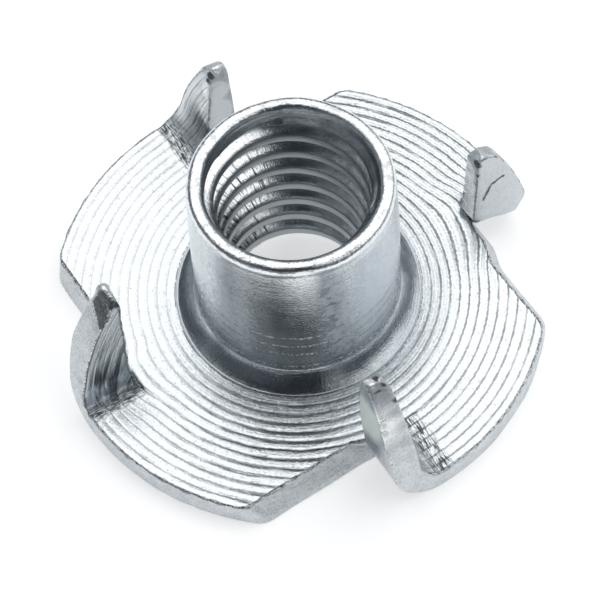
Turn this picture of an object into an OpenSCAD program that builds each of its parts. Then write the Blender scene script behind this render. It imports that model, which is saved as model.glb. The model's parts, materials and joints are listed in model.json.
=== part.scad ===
// Four-prong tee nut: a pressed and drawn sheet-steel nut that is driven into wood.
// Origin at the centre of the flange underside, +Z up along the bore, millimetres.

/* [Flange] */

// Flange diameter
flange_d = 19; // [16:0.5:24]

// Thickness of the sheet
sheet_t = 0.95; // [0.7:0.05:1.15]

// Rounding of the pointed flange corners in plan
corner_r = 0.8; // [0.2:0.1:1.2]

/* [Barrel] */

// Overall height from the underside to the lip
total_h = 8.4; // [7.2:0.1:11]

// Barrel wall outside the thread
wall_t = 0.85; // [0.7:0.05:1.1]

// Rounding of the lip
lip_r = 0.24; // [0.15:0.01:0.3]

// How far the lip is drawn in from the barrel wall
lip_in = 0.1; // [0.04:0.02:0.14]

// Length over which the barrel is drawn in to the lip
taper_h = 1.6; // [0.6:0.1:2.4]

// Fillet between the barrel and the flange
root_r = 0.88; // [0.4:0.02:1.1]

// Radius of the drawn entry on the underside
entry_r = 1.1; // [0.6:0.1:1.4]

/* [Bore] */

// Bore at the thread crests
bore_d = 5; // [3.4:0.05:6]

// Depth of the thread below its crests
thread_depth = 0.5; // [0.3:0.05:0.6]

/* [Prongs] */

// Number of prongs
prong_n = 4; // [3:1:4]

// Angle of the first bend line from +X
prong_turn = 30; // [0:5:85]

// Height of the prong tips from the underside
prong_h = 5.9; // [4.6:0.1:7.1]

// Inner radius of the prong bends
bend_r = 0.8; // [0.4:0.05:1.2]

// Rounding of the prong tips, seen from the side
tip_r = 0.22; // [0.1:0.02:0.4]

// Thickness of the prongs at the tip
tip_t = 0.45; // [0.3:0.05:0.6]

// Length of the tip bevel on the inner face
bevel_h = 1.3; // [0.6:0.1:2]

// Gap left by the cut between a prong and the flange
cut_gap = 0.3; // [0.15:0.05:0.5]

/* [Pressed rings] */

// Number of concentric grooves in the flange top
ring_n = 12; // [6:1:14]

// Width of each groove
groove_w = 0.16; // [0.1:0.02:0.24]

// Depth of each groove
groove_depth = 0.05; // [0.02:0.01:0.1]

/* [Hidden] */

$fn = 96;

zinc = [0.80, 0.82, 0.84];

// Lengths by which cutters and joined pieces run past each other.
over = 1;
weld = 0.3;

// Slope of the mouth chamfer from the bore axis.
mouth_angle = 45;

flange_r = flange_d / 2;
bore_r = bore_d / 2;
major_r = bore_r + thread_depth;
barrel_r = major_r + wall_t;

// The lip is one round that runs from the barrel wall over to the mouth
// chamfer, which leaves it on a tangent and reaches the bore below.
lip_z = total_h - lip_r;
lip_out = barrel_r - lip_in;
lip_mid = lip_out - lip_r;
mouth_r = lip_mid - lip_r * cos(mouth_angle);
mouth_z = lip_z + lip_r * sin(mouth_angle);
bore_top = mouth_z - (mouth_r - bore_r) / tan(mouth_angle);

// Outer edge of the root fillet, where the pressed rings begin.
root_out = barrel_r + root_r;
ring_pitch = (flange_r - root_out) / (ring_n + 1);

// The disc edge becomes the outer edge of each folded prong, so the tip round
// touches a circle of the flange radius and its height fixes the inner edge.
tip_z = prong_h - tip_r;
tip_x = sqrt(pow(flange_r - tip_r, 2) - pow(tip_z, 2));
prong_in = tip_x - tip_r;
tip_touch = flange_r / (flange_r - tip_r);

// Inner side of the cut that frees a prong, and the corner round it ends in.
cut_in = prong_in - cut_gap;
corner_x = cut_in - corner_r;
corner_y = sqrt(pow(flange_r - corner_r, 2) - pow(corner_x, 2));
corner_touch = (flange_r + over) / (flange_r - corner_r);

// Heights and offsets of the folded profile.
bend_z = sheet_t + bend_r;
bend_out = bend_r + sheet_t;
leg_mid = bend_r + sheet_t / 2;
bevel_z = prong_h - bevel_h;
leg_t = sheet_t - (sheet_t - tip_t) * (bevel_z - bend_z) / (prong_h - bend_z) / 2;

// Half section of the barrel wall, from the bore to the outside.
module wall_section() {
    polygon([
        [bore_r, 0],
        [barrel_r, 0],
        [barrel_r, lip_z - taper_h],
        [lip_out, lip_z],
        [lip_mid, lip_z],
        [mouth_r, mouth_z],
        [bore_r, bore_top]
    ]);
    translate([lip_mid, lip_z])
        circle(r = lip_r);
}

// Half section of the flange and the fillet that joins it to the barrel.
module flange_section() {
    translate([bore_r, 0])
        square([flange_r - bore_r, sheet_t]);
    difference() {
        translate([bore_r, 0])
            square([root_out - bore_r, sheet_t + root_r]);
        translate([root_out, sheet_t + root_r])
            circle(r = root_r);
    }
}

// Half section of the metal that the drawn entry takes from the underside.
module entry_section() {
    difference() {
        translate([bore_r - over, -over])
            square([entry_r + over, entry_r + over]);
        translate([bore_r + entry_r, entry_r])
            circle(r = entry_r);
    }
}

// Half section of one pressed groove, centred on the flange top.
module groove_section() {
    polygon([
        [-groove_w / 2, 0],
        [0, -groove_depth],
        [groove_w / 2, 0],
        [0, groove_depth]
    ]);
}

// Flange and barrel as one turned body with its pressed rings.
module turned_body() {
    rotate_extrude()
        difference() {
            union() {
                wall_section();
                flange_section();
            }
            entry_section();
            for (i = [1 : ring_n])
                translate([root_out + i * ring_pitch, sheet_t])
                    groove_section();
        }
}

// Plan of the metal that leaves the flange with one prong.
module cut_plan() {
    difference() {
        union() {
            translate([cut_in, -flange_r - over])
                square([flange_r, flange_r + over]);
            polygon([
                [corner_x, -corner_y],
                [cut_in, -corner_y],
                [cut_in, -flange_r - over],
                [corner_x * corner_touch, -corner_y * corner_touch]
            ]);
        }
        translate([corner_x, -corner_y])
            circle(r = corner_r);
    }
}

// Folded sheet seen along the bend line: a short tail, the bend and the leg.
module fold_profile() {
    square([weld, sheet_t]);
    intersection() {
        difference() {
            translate([0, bend_z])
                circle(r = bend_out);
            translate([0, bend_z])
                circle(r = bend_r);
        }
        translate([-bend_out, 0])
            square([bend_out, bend_z]);
    }
    polygon([
        [-bend_r, bend_z],
        [-bend_out, bend_z],
        [-leg_mid - tip_t / 2, prong_h],
        [-leg_mid, prong_h],
        [-leg_mid + leg_t / 2, bevel_z]
    ]);
}

// Prong seen across the bend line: straight inner edge, disc edge outside.
module prong_side() {
    intersection() {
        circle(r = flange_r);
        polygon([
            [prong_in, 0],
            [flange_r, 0],
            [flange_r, flange_r],
            [tip_x * tip_touch, tip_z * tip_touch],
            [prong_in, tip_z]
        ]);
    }
    translate([tip_x, tip_z])
        circle(r = tip_r);
}

// One prong, folded up about a line along +X.
module prong() {
    intersection() {
        rotate([90, 0, 90])
            linear_extrude(height = flange_r + over)
                fold_profile();
        translate([0, weld + over, 0])
            rotate([90, 0, 0])
                linear_extrude(height = bend_out + weld + 2 * over)
                    prong_side();
        cylinder(r = flange_r, h = prong_h + over);
    }
}

// Places its children at every prong station.
module each_prong() {
    for (i = [0 : prong_n - 1])
        rotate([0, 0, prong_turn + i * 360 / prong_n])
            children();
}

module tee_nut() {
    color(zinc) {
        difference() {
            turned_body();
            each_prong()
                translate([0, 0, -over])
                    linear_extrude(height = sheet_t + 2 * over)
                        cut_plan();
        }
        each_prong()
            prong();
    }
}

tee_nut();
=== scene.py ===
"""Four-prong tee nut: a threaded barrel drawn up from a ringed flange, and prongs folded from its rim."""

import json
import math

import bmesh
import bpy
import numpy as np
from bpy.props import FloatProperty, FloatVectorProperty, IntProperty, PointerProperty
from bpy.types import Operator, Panel, PropertyGroup
from mathutils import Matrix, Vector
from mathutils.kdtree import KDTree


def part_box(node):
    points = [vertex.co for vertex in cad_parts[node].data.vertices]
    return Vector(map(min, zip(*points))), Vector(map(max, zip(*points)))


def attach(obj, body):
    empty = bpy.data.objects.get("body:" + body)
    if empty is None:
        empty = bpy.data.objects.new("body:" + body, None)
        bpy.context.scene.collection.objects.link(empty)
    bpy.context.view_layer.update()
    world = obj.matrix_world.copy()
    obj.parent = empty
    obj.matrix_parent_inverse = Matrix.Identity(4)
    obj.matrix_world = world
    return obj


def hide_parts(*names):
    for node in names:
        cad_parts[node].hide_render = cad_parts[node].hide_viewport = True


bl_info = {
    "name": "Tee Nut",
    "version": (1, 0, 0),
    "blender": (4, 5, 0),
    "location": "3D View > Sidebar > Tee Nut",
    "description": "Builds a pronged tee nut, its zinc finish and a small studio",
    "category": "Object",
}

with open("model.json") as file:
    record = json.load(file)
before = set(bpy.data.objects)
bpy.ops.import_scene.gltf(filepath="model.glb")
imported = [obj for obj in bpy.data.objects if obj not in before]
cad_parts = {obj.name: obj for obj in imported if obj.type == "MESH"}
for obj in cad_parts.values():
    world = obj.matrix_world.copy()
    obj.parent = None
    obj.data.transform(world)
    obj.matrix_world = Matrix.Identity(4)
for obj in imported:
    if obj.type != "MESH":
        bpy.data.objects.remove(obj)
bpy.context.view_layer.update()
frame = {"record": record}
MOUNTS = {m["name"]: m for m in frame["record"]["mounts"]}
MM = 0.001

# ---- Sizes of the nut, in millimetres unless they say otherwise ----

FLANGE_R = 9.5
SHEET = 0.95
BARREL_R = MOUNTS["barrel"]["dims"]["r_mm"]
BORE_R = MOUNTS["thread"]["dims"]["r_mm"]
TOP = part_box("tee_nut")[1].z / MM
# The bore widens evenly by CREST_SPREAD between these heights.
CREST_SPREAD = 0.36
SPREAD_HEIGHTS = (0.4, 7.4)

# Lip: how far it is drawn in, radius of its round, the power that squares it a
# little, how far it wavers up and out, and the rows at the mouth where that calms.
LIP_IN = 0.1
LIP_R = 0.31
LIP_FLAT = 0.88
LIP_ROWS = 27
LIP_LIFT, LIP_SPREAD = 0.012, 0.6
LIP_CALM_ROWS = 8
LIP_Z = TOP - LIP_R
LIP_MID = BARREL_R - LIP_IN - LIP_R

# Root of the barrel: a small step in the flange, a slope that steepens between
# two angles in degrees, and a tight turn up into the wall.
ROOT_OUT = BARREL_R + 0.88
RINGED_FROM = ROOT_OUT + 0.02
ROOT_STEP = ((0.015, 0.012), (0.03, 0.04))
ROOT_SLOPES = (22.0, 52.0)
ROOT_TURN_R = 0.26
ROOT_ROWS, ROOT_TURN_ROWS = 12, 9

# How the barrel is drawn in towards its lip: heights, and how far out the wall is there.
WALL_R = BARREL_R + 0.045
WALL_ROWS = 26
WALL_HEIGHTS = (4.0, 5.6, 6.5, 7.0, 8.0, LIP_Z)
WALL_SWELL = (0.045, 0.01, -0.02, -0.05, -0.085, -LIP_IN)

# The bore's ledge below the lip, and its round entry from below.
MOUTH_Z = LIP_Z
MOUTH_HEIGHTS = (7.55, 7.76, 7.83, 7.93, MOUTH_Z)
MOUTH_RADII = (BORE_R, 2.80, LIP_MID - LIP_R - 0.07, LIP_MID - LIP_R - 0.02, LIP_MID - LIP_R)
ENTRY_R = 1.1
ENTRY_ROWS, ENTRY_RIM_ROWS = 6, 9
THREAD_LOW = 0.15

# Sheared edge: its rounds above and below, how far it flares at the foot, how
# uneven the rounds are, and the least and most share of the upper one.
EDGE_TOP, EDGE_LOW = 0.075, 0.06
EDGE_FLARE = 0.06
CHIPPING, ROLLING = 0.35, 0.15
CHIPS = (0.4, 1.7)

# Outline of the flange: direction of the first bend line and turn of the cut
# lines, in degrees; corner of each quarter; reach over which a slit opens; circles
# where the prongs start; and rows of faces in from the rim.
FIRST_BEND = 118.5
CUT_TURN = 1.5
CORNER_R = 0.8
SLIT_REACH = 0.4
TOP_FOOT_R, LOW_FOOT_R = 7.0, 7.19
RIM_ROWS = (0.1, 0.05, 0.02, 0.0)

PRONG_SIZES = (
    "bend", "lean", "stand", "twist", "foot", "mid", "tip", "height",
    "rise", "inner", "slope", "pull", "cut", "low", "part",
)
# Each prong, clockwise from the one at the back left. bend: inner bend radius;
# lean: degrees past upright; stand: distance of its inner face from the bend
# line at mid height; twist: how that distance grows outwards; foot, mid, tip:
# thickness; height: top; rise: height of the centre of its round outer edge;
# inner, slope: its inner edge at mid height and how that edge leans; pull: how
# far the outer edge draws in at the bend; cut, low: distance of its cut line
# from the axis, above and below; part: how far past the bend its inner edge
# takes to part from the flange.
PRONGS = tuple(
    dict(zip(PRONG_SIZES, sizes))
    for sizes in (
        (1.30, 9.0, 0.62, -0.08, 1.30, 1.05, 0.72, 5.40, 0.28, 7.46, 0.05, 0.0, 6.80, 7.13, 1.6),
        (0.40, -5.0, 0.46, 0.21, 1.00, 0.90, 0.84, 4.62, -0.14, 7.45, 0.10, 0.48, 6.75, 7.13, 2.0),
        (0.80, 2.4, 0.61, 0.0, 1.09, 1.08, 0.82, 5.74, -0.38, 7.00, -0.11, 0.10, 6.67, 7.13, 0.45),
        (0.80, 5.0, 0.385, 0.035, 0.98, 1.24, 1.02, 5.86, -0.42, 7.17, -0.07, 0.0, 6.98, 7.24, 2.2),
    )
)
# Every prong: the height where its place is measured, the place it twists about,
# its least width, the round cap and bevel of its tip, and how far past the bend
# its outer edge stays drawn in.
MID_Z = 3.5
TWIST_V = 8.3
TIP_WIDTH = 0.42
TIP_CAP = 0.32
BEVEL_H, BEVEL_TOP, BEVEL_DEPTH = 0.5, 0.1, 0.14
PULL_REACH = 0.6

# How the flange bulges out beside the foot of each prong: prong, reach, and the
# places across the bend line where the bulge starts, is full, fades and ends.
BULGES = (
    (0, 0.30, (-0.8, 0.3, 1.3, 2.3)),
    (1, 0.38, (-1.4, 0.3, 2.0, 3.4)),
    (2, 0.05, (0.2, 0.5, 1.2, 2.0)),
    (3, 0.30, (-1.9, -0.4, 0.6, 1.5)),
)
BULGE_FROM = (5.6, 6.9)
BULGE_TO = (7.5, 8.8)
BULGE_HEIGHTS = (SHEET + 0.02, SHEET + 0.4)

# Rough dark spots, partly torn zinc and partly painted shade on the tip facets; painted glints
# and sheen; and darker patches: prong, place in its own frame (out along the bend line, across it, up) and
# reach.
DARK_MARKS = (
    (0, 7.71, 1.03, 5.12, 0.22),
    (0, 7.69, 0.90, 4.84, 0.17),
    (0, 7.62, 0.83, 4.46, 0.15),
    (0, 7.58, 0.77, 4.05, 0.13),
    (1, 7.50, 0.95, 4.40, 0.24),
    (1, 7.46, 1.07, 3.85, 0.11),
    (1, 7.42, 1.10, 3.30, 0.10),
    (2, 7.44, 1.25, 5.54, 0.13),
    (2, 7.03, 1.05, 5.70, 0.15),
    (2, 7.36, 0.92, 5.58, 0.12),
    (2, 8.22, 1.56, 4.47, 0.10),
    (2, 8.38, 1.57, 4.18, 0.12),
    (2, 7.80, 0.70, 5.03, 0.13),
    (3, 7.38, 1.10, 5.62, 0.36),
    (3, 7.60, 1.12, 5.30, 0.40),
    (3, 7.34, 0.78, 5.62, 0.34),
    (3, 7.68, 0.80, 5.15, 0.42),
    (3, 7.88, 0.60, 4.90, 0.24),
    (3, 7.12, 0.68, 5.52, 0.20),
)
PAINTED_GLINT_MARKS = (
    (0, 7.68, 1.28, 5.31, 0.27),
    (0, 7.45, 1.00, 4.20, 0.90),
    (0, 7.45, 0.90, 3.00, 1.10),
    (1, 7.58, 0.76, 4.60, 0.15),
    (1, 7.69, 0.96, 4.71, 0.14),
    (1, 7.36, 0.45, 3.60, 0.70),
    (1, 7.33, 0.62, 2.90, 0.75),
    (1, 7.30, 0.80, 2.20, 0.75),
    (1, 7.28, 1.00, 1.60, 0.60),
    (2, 6.90, 1.38, 5.74, 0.14),
    (2, 7.20, 1.29, 5.69, 0.17),
    (2, 7.30, 1.64, 3.95, 1.70),
    (2, 7.30, 1.64, 3.10, 1.20),
    (3, 7.20, 1.24, 5.85, 0.17),
    (3, 7.02, 1.20, 5.69, 0.16),
)
DIMMED_MARKS = (
    (0, 7.85, 0.40, 2.00, 1.30),
    (2, 7.90, 1.65, 2.20, 1.00),
    (2, 7.40, 1.10, 5.30, 0.90),
)

# Columns of faces in each quarter of the flange: beside the slit, its body, and
# the lead of flat sheet to the next bend. The underside keeps each fourth row.
SLIT_COLUMNS, BODY_COLUMNS, LEAD_COLUMNS = 12, 56, 4
COLUMNS = SLIT_COLUMNS + BODY_COLUMNS + LEAD_COLUMNS
LEAD = 0.5
LOW_STEP = 4
# Stations up each prong: round its bend, up its leg and over its tip.
BEND_STATIONS, LEG_STATIONS, CAP_STATIONS = 12, 28, 8

# Fold of faces that are on no fold.
FAR_FOLD = 9.0
# In metres: gap over which points are welded, and the least edge that is kept.
WELD_GAP = 2e-7
LEAST_EDGE = 1e-8
TOP_FACE, SHEARED, DRAWN, TAPPED, UNDERSIDE = range(5)


def ease(low, high, x):
    """Smooth step from 0 at low to 1 at high."""
    t = np.clip((np.asarray(x, float) - low) / (high - low), 0.0, 1.0)
    return t * t * (3.0 - 2.0 * t)


def ripple(seed, count, low, high, along=0.0):
    """Unevenness of about unit height that closes on itself round the nut and drifts with a second place."""
    rng = np.random.default_rng(seed)
    turns = rng.integers(low, high, count)
    drift = rng.uniform(-along, along, count)
    phase = rng.uniform(0.0, 2.0 * math.pi, count)

    def value(turn, place=0.0):
        turn, place = np.broadcast_arrays(np.asarray(turn, float), np.asarray(place, float))
        waves = np.sin(turn[..., None] * turns + place[..., None] * drift + phase)
        return waves.sum(-1) / math.sqrt(count / 2.0)

    return value


def polar(radius, turn, z):
    """Points at a radius and a clockwise turn, in radians, from the first bend line."""
    radius, turn, z = np.broadcast_arrays(radius, turn, z)
    angle = math.radians(FIRST_BEND) - turn
    return np.stack([radius * np.cos(angle), radius * np.sin(angle), z], -1)


class Skin:
    """Patches of faces that are welded into one closed mesh."""

    FACTS = ("ring", "turn", "fold", "line", "shade")
    MARKS = ("edge", "dark", "bright", "worn")

    def __init__(self):
        self.points, self.facts, self.faces, self.kinds, self.count = [], [], [], [], 0

    def add(self, points, kind, faces, facts=None):
        points = np.asarray(points, float).reshape(-1, 3)
        if facts is None:
            facts = plain_facts(points)
        self.points.append(points)
        self.facts.append(np.asarray(facts, float).reshape(-1, len(self.FACTS)))
        self.faces += [[self.count + i for i in f] for f in faces]
        self.kinds += [kind] * len(faces)
        self.count += len(points)

    def grid(self, points, kind, facts=None):
        points = np.asarray(points, float)
        rows, cols = points.shape[:2]
        at = np.arange(rows * cols).reshape(rows, cols)
        faces = np.stack([at[:-1, :-1], at[:-1, 1:], at[1:, 1:], at[1:, :-1]], -1)
        self.add(points, kind, faces.reshape(-1, 4).tolist(), facts)

    def mesh(self, name, edge_points):
        points = bulged(np.concatenate(self.points))
        marks = [edge_distance(points, bulged(np.asarray(edge_points)))]
        marks += [marked(points, spots) for spots in (DARK_MARKS, PAINTED_GLINT_MARKS, DIMMED_MARKS)]
        facts = np.column_stack([np.concatenate(self.facts), *marks])
        points = points * MM
        mesh = bpy.data.meshes.new(name)
        mesh.from_pydata(points.tolist(), [], self.faces)
        mesh.polygons.foreach_set("material_index", self.kinds)
        for i, fact in enumerate(self.FACTS + self.MARKS):
            layer = mesh.attributes.new(fact, "FLOAT", "POINT")
            layer.data.foreach_set("value", facts[:, i].astype(np.float32))
        bm = bmesh.new()
        bm.from_mesh(mesh)
        bmesh.ops.remove_doubles(bm, verts=bm.verts, dist=WELD_GAP)
        bmesh.ops.dissolve_degenerate(bm, edges=bm.edges, dist=LEAST_EDGE)
        bmesh.ops.recalc_face_normals(bm, faces=bm.faces)
        open_edges = sum(1 for e in bm.edges if len(e.link_faces) != 2)
        bm.to_mesh(mesh)
        bm.free()
        mesh.polygons.foreach_set("use_smooth", [True] * len(mesh.polygons))
        mesh.update()
        return mesh, open_edges


def bend_turn(k):
    """Turn of bend line k."""
    return math.radians(90 * k)


def prong_way(k):
    """Directions along bend line k, for places v, and across it towards its prong, for places w."""
    angle = math.radians(FIRST_BEND - 90 * k)
    x, y = math.cos(angle), math.sin(angle)
    return np.array([x, y, 0.0]), np.array([y, -x, 0.0])


def bulged(points):
    """Points of the nut with the flange bulged out beside each prong's foot."""
    points = points.copy()
    low = 1.0 - ease(*BULGE_HEIGHTS, points[:, 2])
    for k, reach, (start, full, fade, end) in BULGES:
        along, across = prong_way(k)
        v, w = points @ along, points @ across
        share = ease(start, full, w) - ease(fade, end, w)
        share = share * ease(*BULGE_FROM, v) * (1.0 - ease(*BULGE_TO, v))
        points += (reach * share * low)[:, None] * along
    return points


def marked(points, marks):
    """Nearness to a list of marks: 1 in the middle of one, 0 at its reach."""
    near = np.zeros(len(points))
    for k, v, w, z, reach in marks:
        along, across = prong_way(k)
        centre = v * along + w * across + np.array([0.0, 0.0, z])
        near = np.maximum(near, 1.0 - np.linalg.norm(points - centre, axis=1) / reach)
    return near


def edge_distance(points, edge_points, most=1.0):
    """Distance to the nearest point of the sheared outline."""
    tree = KDTree(len(edge_points))
    for i, point in enumerate(edge_points):
        tree.insert(point, i)
    tree.balance()
    return np.array([min(tree.find(p)[2], most) for p in points])


def plain_facts(points):
    """Facts of faces that have neither rings nor a fold."""
    radius = np.hypot(points[:, 0], points[:, 1])
    turn = math.radians(FIRST_BEND) - np.arctan2(points[:, 1], points[:, 0])
    none = np.zeros(len(points))
    return np.stack([radius, turn, none + FAR_FOLD, none, none], -1)


class Layer:
    """The top or the underside of the flange: the outline that its grid fills."""

    def __init__(self, foot, cut, inset, shares):
        self.foot, self.rim, self.inset = foot, FLANGE_R - inset, inset
        self.cuts = [prong[cut] - inset for prong in PRONGS]
        self.rows = (self.foot + (self.rim - self.foot) * shares)[:, None]

    def cut_turn(self, k, radius):
        """Turn past bend line k at which the cut line crosses a radius, with its rounded corner."""
        cut, round_r = self.cuts[k], CORNER_R - self.inset
        mid_v = cut - round_r
        mid_r = self.rim - round_r
        mid_turn = math.acos(mid_v / mid_r)
        tangent = math.hypot(cut, mid_r * math.sin(mid_turn))
        radius = np.asarray(radius, float)
        straight = np.arccos(np.clip(cut / radius, -1, 1))
        swing = (radius**2 + mid_r**2 - round_r**2) / (2 * radius * mid_r)
        rounded = mid_turn - np.arccos(np.clip(swing, -1, 1))
        return np.where(radius < tangent, straight, rounded) - math.radians(CUT_TURN)


def prong_start(prong):
    """Where a prong's bend starts, from its bend line, and the height where its leg starts."""
    lean = math.radians(prong["lean"])
    leg_z = SHEET + prong["bend"] * (1.0 - math.sin(lean))
    start = prong["stand"] + math.tan(lean) * (leg_z - MID_Z) - prong["bend"] * math.cos(lean)
    return start, leg_z


def foot_turns(layer):
    """Column turns on the foot circle, all round: slit, body of the quarter, lead to the next bend."""
    turns = []
    for k in range(4):
        here, after = PRONGS[k], PRONGS[(k + 1) % 4]
        start = prong_start(after)[0]
        stops = (
            bend_turn(k) + math.asin(prong_start(here)[0] / layer.foot),
            bend_turn(k) + float(layer.cut_turn(k, layer.foot)),
            bend_turn(k + 1) + math.asin((start - LEAD) / layer.foot),
            bend_turn(k + 1) + math.asin(start / layer.foot),
        )
        for first, last, count in zip(stops, stops[1:], (SLIT_COLUMNS, BODY_COLUMNS, LEAD_COLUMNS)):
            turns.append(np.linspace(first, last, count + 1)[:-1])
    turns = np.concatenate(turns)
    return np.append(turns, turns[0] + 2.0 * math.pi)


# ---- Surfaces ----

RING_SWAY = ripple(11, 10, 2, 34, along=3.0)
RING_BITE = ripple(12, 12, 3, 48, along=17.0)
RING_BREAK = ripple(13, 14, 40, 150, along=23.0)
LIP_SWAY = ripple(14, 8, 2, 14, along=4.0)
EDGE_CHIP = ripple(15, 16, 30, 220)
EDGE_ROLL = ripple(16, 10, 8, 60)

# By turn in degrees clockwise from the first bend: how deep the rings are pressed,
# how dark the painted shade in their lines is, and how deep the painted shade is round the barrel's foot.
PRESS_TURNS = (0, 30, 60, 90, 120, 150, 180, 208, 240, 270, 300, 330, 360)
PRESS_DEPTHS = (0.6, 1.0, 1.0, 0.7, 0.7, 0.7, 0.7, 0.7, 0.7, 0.6, 0.5, 0.5, 0.6)
LINE_DEPTHS = (0.55, 0.95, 1.0, 1.0, 0.9, 0.75, 0.8, 0.9, 0.75, 0.5, 0.35, 0.38, 0.5)
SHADE_DEPTHS = (0.1, 0.2, 0.3, 0.35, 0.5, 0.8, 1.0, 1.0, 0.7, 0.3, 0.15, 0.1, 0.1)
SHADE_REACH = (6.5, ROOT_OUT + 0.1)
# Rings: where they fade out before a fold, rows of faces across each, least gap
# between rows, how far a ring wavers, and how far out of the root they start.
PRESS_FADE = (-1.1, -0.5)
RING_ROWS = (-0.08, -0.03, 0.03, 0.08, 0.16, 0.23)
RING_CLEAR = 0.03
RING_WAVER = 0.012
RING_START = 0.06
# How much slow and quick unevenness changes a ring's depth, and its least and most share.
RING_UNEVEN = (0.2, 0.25)
RING_BITES = (0.15, 1.8)


def by_turn(turn, depths):
    """Value from a table of depths at PRESS_TURNS."""
    return np.interp(np.degrees(turn) % 360.0, PRESS_TURNS, depths)


class PressedRings:
    """Concentric rings pressed into the flange top."""

    def __init__(self, count, depth, width):
        self.count, self.depth, self.half = count, depth, width / 2
        self.pitch = (FLANGE_R - ROOT_OUT) / (count + 1)

    def rows(self, low, high):
        """Radii between low and high that follow the rings."""
        radii = [ROOT_OUT + i * self.pitch + s for i in range(self.count + 2) for s in RING_ROWS]
        return [r for r in sorted(radii) if low + RING_CLEAR < r < high - RING_CLEAR]

    def drop(self, radius, turn):
        """Depth of the rings below the flange top."""
        index = np.clip(np.round((radius - ROOT_OUT) / self.pitch), 1, self.count)
        centre = ROOT_OUT + index * self.pitch + RING_WAVER * RING_SWAY(turn, index)
        shape = 1.0 - ease(0.0, self.half, np.abs(radius - centre))
        bite = 1.0 + RING_UNEVEN[0] * RING_BITE(turn, index) + RING_UNEVEN[1] * RING_BREAK(turn, index)
        return self.depth * by_turn(turn, PRESS_DEPTHS) * np.clip(bite, *RING_BITES) * shape

    def patch(self, radius, turn, fold):
        """Points and facts of the ringed flange top."""
        press = (1.0 - ease(*PRESS_FADE, fold)) * ease(0.0, RING_START, radius - RINGED_FROM)
        z = SHEET - self.drop(radius, turn) * press
        return polar(radius, turn, z), ring_facts(radius, turn, fold)


def ring_facts(radius, turn, fold):
    """Facts of ringed faces; shade is painted shade that greys them, deepest at the foot of the barrel."""
    radius, turn, fold = np.broadcast_arrays(radius, turn, fold)
    shade = by_turn(turn, SHADE_DEPTHS) * ease(*SHADE_REACH, radius)
    return np.stack([radius, turn, fold, by_turn(turn, LINE_DEPTHS), shade], -1)


def flange_top(skin, layer, turns, rings):
    """Ringed top: whole rings inside the cuts, then a quarter between each pair of prongs."""
    radii = np.array([RINGED_FROM, *rings.rows(RINGED_FROM, layer.foot), layer.foot])
    inner, facts = rings.patch(radii[:, None], turns, -FAR_FOLD)
    skin.grid(inner, TOP_FACE, facts)
    quarters = []
    for k in range(4):
        radius, turn = quarter_grid(layer, k)
        fold = radius * np.sin(turn - bend_turn(k + 1))
        points, facts = rings.patch(radius, turn, fold)
        first = COLUMNS * k + SLIT_COLUMNS
        points[0] = inner[-1, first : first + points.shape[1]]
        skin.grid(points, TOP_FACE, facts)
        quarters.append(points)
    return inner[-1], quarters


def quarter_grid(layer, k):
    """Radii and turns between cut line k and the lead of the next bend."""
    radius = layer.rows
    start = prong_start(PRONGS[(k + 1) % 4])[0]
    first = bend_turn(k) + layer.cut_turn(k, radius)
    last = bend_turn(k + 1) + np.arcsin((start - LEAD) / radius)
    across = np.linspace(0.0, 1.0, BODY_COLUMNS + 1)
    return radius + 0.0 * across, first + (last - first) * across


def prong_stations(prong, layer):
    """Stations along a prong, each a row: distance along the blank, place across the bend, height, the two
    parts of the inward direction, thickness, width of the cap, and part (0 flat, to 1 bend, 2 leg)."""
    start, leg_z = prong_start(prong)
    lean = math.radians(prong["lean"])
    first, last = math.asin((start - LEAD) / layer.foot), math.asin(start / layer.foot)
    flat = layer.foot * np.sin(np.linspace(first, last, LEAD_COLUMNS + 1))
    rows = [(w, w, SHEET, 0.0, 1.0, SHEET, 1.0, 0.0) for w in flat]
    sweep = math.pi / 2 - lean
    for share in np.linspace(0.0, 1.0, BEND_STATIONS + 1)[1:]:
        a = sweep * share
        blank = start + (leg_z - prong["rise"] - start) * share
        thick = SHEET + (prong["foot"] - SHEET) * share
        place = start + prong["bend"] * math.sin(a), SHEET + prong["bend"] * (1 - math.cos(a))
        rows.append((blank, *place, -math.sin(a), math.cos(a), thick, 1.0, share))
    top = prong["height"] - layer.inset
    cap_z = top - TIP_CAP
    heights = [(z, 1.0) for z in np.linspace(leg_z, cap_z, LEG_STATIONS + 1)[1:]]
    for a in np.linspace(0, math.pi / 2, CAP_STATIONS + 1)[1:]:
        heights.append((cap_z + TIP_CAP * math.sin(a), math.cos(a)))
    for z, cap in heights:
        climb = (z - leg_z) / (top - leg_z)
        thick = np.interp(climb, (0.0, 0.45, 1.0), (prong["foot"], prong["mid"], prong["tip"]))
        w = prong["stand"] + math.tan(lean) * (z - MID_Z)
        rows.append((z - prong["rise"], w, z, -math.cos(lean), math.sin(lean), thick, max(cap, 1e-6), 2.0))
    return np.array(rows)


def prong_edges(prong, layer, stations):
    """Places along the bend line of a prong's inner and outer edge at each station."""
    start, leg_z = prong_start(prong)
    blank, z, part = stations[:, 0], stations[:, 2], stations[:, 7]
    foot = math.sqrt(layer.foot**2 - start**2)
    inner = prong["inner"] + prong["slope"] * (np.maximum(z, leg_z) - MID_Z) + layer.inset
    inner = foot + (inner - foot) * ease(start, start + prong["part"], blank)
    outer = np.sqrt(np.maximum(FLANGE_R**2 - blank**2, 1.0)) - layer.inset
    pull_at = np.clip((blank - start) / (leg_z - prong["rise"] - start + PULL_REACH), 0, 1)
    outer = outer - prong["pull"] * np.sin(math.pi * pull_at) ** 2
    return inner, np.where(part > 1.0, np.maximum(outer, inner + TIP_WIDTH - 2 * layer.inset), outer)


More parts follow.
